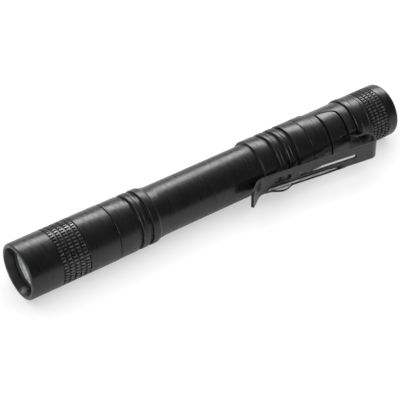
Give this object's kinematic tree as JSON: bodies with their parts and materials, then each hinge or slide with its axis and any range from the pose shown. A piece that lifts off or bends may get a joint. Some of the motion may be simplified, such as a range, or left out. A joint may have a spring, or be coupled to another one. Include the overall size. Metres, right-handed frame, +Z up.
{
  "type": "pocket flashlight",
  "caption": "Slim black pocket flashlight with a knurled screw-on head, ringed barrel, spring pocket clip and a knurled tail cap with a push button.",
  "frame": {"origin": "middle of the bounding box at the floor, with the light lying on its head and cap rims", "axes": "+X along the light from head to tail, +Z up, the pocket clip towards -Y"},
  "size_m": [0.1312, 0.023, 0.017],
  "materials": {
    "anodised": "black anodised, satin",
    "clip_steel": "black coated spring steel",
    "seal": "matt",
    "window": "clear, polished",
    "reflector": "mirror bright",
    "emitter": "phosphor",
    "light_board": "white solder mask",
    "brass": "turned",
    "circuit": "solder mask",
    "spring": "plated wire",
    "cell": "plain wrap",
    "nylon": "moulded",
    "switch_body": "moulded",
    "button": "matt"
  },
  "bodies": {
    "body": {"barrel": "anodised", "head_o_ring": "seal", "battery_front": "cell", "battery_rear": "cell", "tail_tube": "anodised", "pocket_clip": "clip_steel", "tail_o_ring": "seal"},
    "head_slider": {"lens_o_ring": "seal"},
    "head": {"head_bezel": "anodised", "lens": "window", "reflector": "reflector", "led_emitter": "emitter", "led_board": "light_board", "led_pill": "brass", "driver_board": "circuit", "positive_spring": "spring"},
    "cap_slider": {"switch_contact": "circuit"},
    "cap": {"tail_cap": "anodised", "retaining_ring": "brass", "switch_housing": "switch_body", "negative_spring": "spring", "switch_spring": "spring"},
    "button": {"tail_button": "button", "button_o_ring": "seal", "switch_plunger": "nylon"}
  },
  "joints": [
    {"name": "head_travel", "type": "slide", "parent": "body", "child": "head_slider", "axis": [-1, 0, 0], "range_m": [0, 0.005]},
    {"name": "head_turn", "type": "hinge", "parent": "head_slider", "child": "head", "pos_m": [-0.05, 0.003, 0.0085], "axis": [-1, 0, 0], "range_deg": [0, 1800]},
    {"name": "cap_travel", "type": "slide", "parent": "body", "child": "cap_slider", "axis": [1, 0, 0], "range_m": [0, 0.004]},
    {"name": "cap_turn", "type": "hinge", "parent": "cap_slider", "child": "cap", "pos_m": [0.055, 0.003, 0.0085], "axis": [1, 0, 0], "range_deg": [0, 1440]},
    {"name": "tail_press", "type": "slide", "parent": "cap", "child": "button", "axis": [-1, 0, 0], "range_m": [0, 0.0014], "stiffness_N_per_m": 800, "deforming": ["switch_spring"]}
  ],
  "couplings": [
    {"joint": "head_travel", "follows": "head_turn", "m_per_rad": 0.00015915},
    {"joint": "cap_travel", "follows": "cap_turn", "m_per_rad": 0.00015915}
  ]
}
